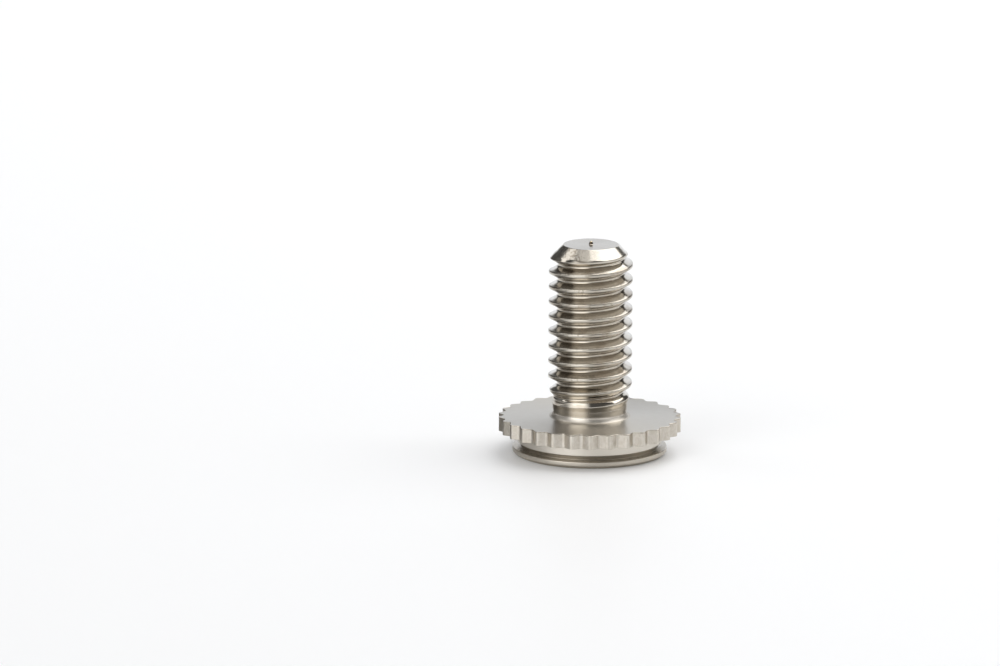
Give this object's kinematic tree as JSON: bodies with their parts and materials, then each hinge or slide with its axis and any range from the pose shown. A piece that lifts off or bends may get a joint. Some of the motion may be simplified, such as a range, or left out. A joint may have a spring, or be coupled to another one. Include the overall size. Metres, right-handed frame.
{
  "type": "self-clinching screw",
  "caption": "Self-clinching screw: a flat pilot disc and clinch groove, a knurled press-in flange, and a right-hand machine thread with a lead-in end.",
  "frame": {"origin": "centre of the pilot disc's flat underside, on which the screw stands", "axes": "+Z along the screw's axis, from the pilot disc to the thread's end; +X and +Y across the flange"},
  "size_m": [0.0084, 0.0084, 0.01],
  "materials": {
    "steel": "bright turned stainless steel, slightly warm in tone, with fine turning rings on the flat faces and a rolled thread"
  },
  "bodies": {
    "root": {"screw": "steel"}
  },
  "joints": []
}
